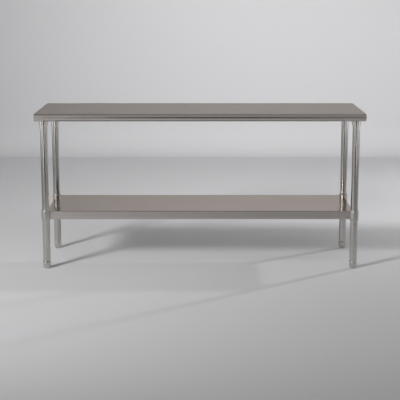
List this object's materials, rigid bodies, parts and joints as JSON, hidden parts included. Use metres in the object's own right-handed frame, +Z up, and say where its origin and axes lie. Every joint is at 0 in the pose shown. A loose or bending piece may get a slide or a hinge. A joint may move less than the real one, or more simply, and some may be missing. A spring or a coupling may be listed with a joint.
{
  "type": "work table",
  "caption": "Stainless work table with a half-round front and rear edge, round legs, an adjustable undershelf and levelling feet.",
  "frame": {"origin": "on the floor, under the middle of the worktop", "axes": "+X along the table to the right seen from the front, +Y from front to rear, +Z up"},
  "size_m": [1.8288, 0.6096, 0.881],
  "materials": {
    "worktop_steel": "satin brushed along the length",
    "shelf_steel": "satin brushed along the length",
    "leg_steel": "satin polished tube",
    "socket_steel": "satin turned",
    "foot_steel": "satin turned",
    "cast_aluminium": "fine cast, tumbled",
    "channel_steel": "dull mill finish",
    "plated_steel": "zinc plated",
    "dark_steel": "black oxide",
    "butyl_tape": "matte"
  },
  "bodies": {
    "frame": {"worktop": "worktop_steel", "centre_channel": "channel_steel", "left_cross_channel": "channel_steel", "right_cross_channel": "channel_steel", "centre_tape": "butyl_tape", "left_tape": "butyl_tape", "right_tape": "butyl_tape", "weld_stud_1": "plated_steel", "weld_stud_2": "plated_steel", "weld_stud_3": "plated_steel", "weld_stud_4": "plated_steel", "weld_stud_5": "plated_steel", "weld_stud_6": "plated_steel", "weld_stud_7": "plated_steel", "weld_stud_8": "plated_steel", "stud_nut_1": "plated_steel", "stud_nut_2": "plated_steel", "stud_nut_3": "plated_steel", "stud_nut_4": "plated_steel", "stud_nut_5": "plated_steel", "stud_nut_6": "plated_steel", "stud_nut_7": "plated_steel", "stud_nut_8": "plated_steel", "leg_socket_front_left": "socket_steel", "socket_screw_front_left": "dark_steel", "leg_front_left": "leg_steel", "foot_insert_front_left": "plated_steel", "leg_socket_front_right": "socket_steel", "socket_screw_front_right": "dark_steel", "leg_front_right": "leg_steel", "foot_insert_front_right": "plated_steel", "leg_socket_rear_right": "socket_steel", "socket_screw_rear_right": "dark_steel", "leg_rear_right": "leg_steel", "foot_insert_rear_right": "plated_steel", "leg_socket_rear_left": "socket_steel", "socket_screw_rear_left": "dark_steel", "leg_rear_left": "leg_steel", "foot_insert_rear_left": "plated_steel"},
    "undershelf": {"undershelf": "shelf_steel", "shelf_channel": "channel_steel", "corner_clamp_front_left": "cast_aluminium", "clamp_screw_front_left": "dark_steel", "corner_clamp_front_right": "cast_aluminium", "clamp_screw_front_right": "dark_steel", "corner_clamp_rear_right": "cast_aluminium", "clamp_screw_rear_right": "dark_steel", "corner_clamp_rear_left": "cast_aluminium", "clamp_screw_rear_left": "dark_steel"},
    "stem_front_left": {"foot_stem_front_left": "plated_steel"},
    "foot_front_left": {"bullet_foot_front_left": "foot_steel"},
    "stem_front_right": {"foot_stem_front_right": "plated_steel"},
    "foot_front_right": {"bullet_foot_front_right": "foot_steel"},
    "stem_rear_right": {"foot_stem_rear_right": "plated_steel"},
    "foot_rear_right": {"bullet_foot_rear_right": "foot_steel"},
    "stem_rear_left": {"foot_stem_rear_left": "plated_steel"},
    "foot_rear_left": {"bullet_foot_rear_left": "foot_steel"}
  },
  "joints": [
    {"name": "shelf_height", "type": "slide", "parent": "frame", "child": "undershelf", "axis": [0, 0, 1], "range_m": [-0.15, 0.3]},
    {"name": "front_left_foot_travel", "type": "slide", "parent": "frame", "child": "stem_front_left", "axis": [0, 0, -1], "range_m": [0, 0.0251]},
    {"name": "front_left_foot_turn", "type": "hinge", "parent": "stem_front_left", "child": "foot_front_left", "pos_m": [-0.867, -0.2508, 0.03], "axis": [0, 0, -1], "range_deg": [0, 4500]},
    {"name": "front_right_foot_travel", "type": "slide", "parent": "frame", "child": "stem_front_right", "axis": [0, 0, -1], "range_m": [0, 0.0251]},
    {"name": "front_right_foot_turn", "type": "hinge", "parent": "stem_front_right", "child": "foot_front_right", "pos_m": [0.867, -0.2508, 0.03], "axis": [0, 0, -1], "range_deg": [0, 4500]},
    {"name": "rear_right_foot_travel", "type": "slide", "parent": "frame", "child": "stem_rear_right", "axis": [0, 0, -1], "range_m": [0, 0.0251]},
    {"name": "rear_right_foot_turn", "type": "hinge", "parent": "stem_rear_right", "child": "foot_rear_right", "pos_m": [0.867, 0.2508, 0.03], "axis": [0, 0, -1], "range_deg": [0, 4500]},
    {"name": "rear_left_foot_travel", "type": "slide", "parent": "frame", "child": "stem_rear_left", "axis": [0, 0, -1], "range_m": [0, 0.0251]},
    {"name": "rear_left_foot_turn", "type": "hinge", "parent": "stem_rear_left", "child": "foot_rear_left", "pos_m": [-0.867, 0.2508, 0.03], "axis": [0, 0, -1], "range_deg": [0, 4500]}
  ],
  "couplings": [
    {"joint": "front_left_foot_travel", "follows": "front_left_foot_turn", "m_per_rad": 0.00031831},
    {"joint": "front_right_foot_travel", "follows": "front_right_foot_turn", "m_per_rad": 0.00031831},
    {"joint": "rear_right_foot_travel", "follows": "rear_right_foot_turn", "m_per_rad": 0.00031831},
    {"joint": "rear_left_foot_travel", "follows": "rear_left_foot_turn", "m_per_rad": 0.00031831}
  ]
}
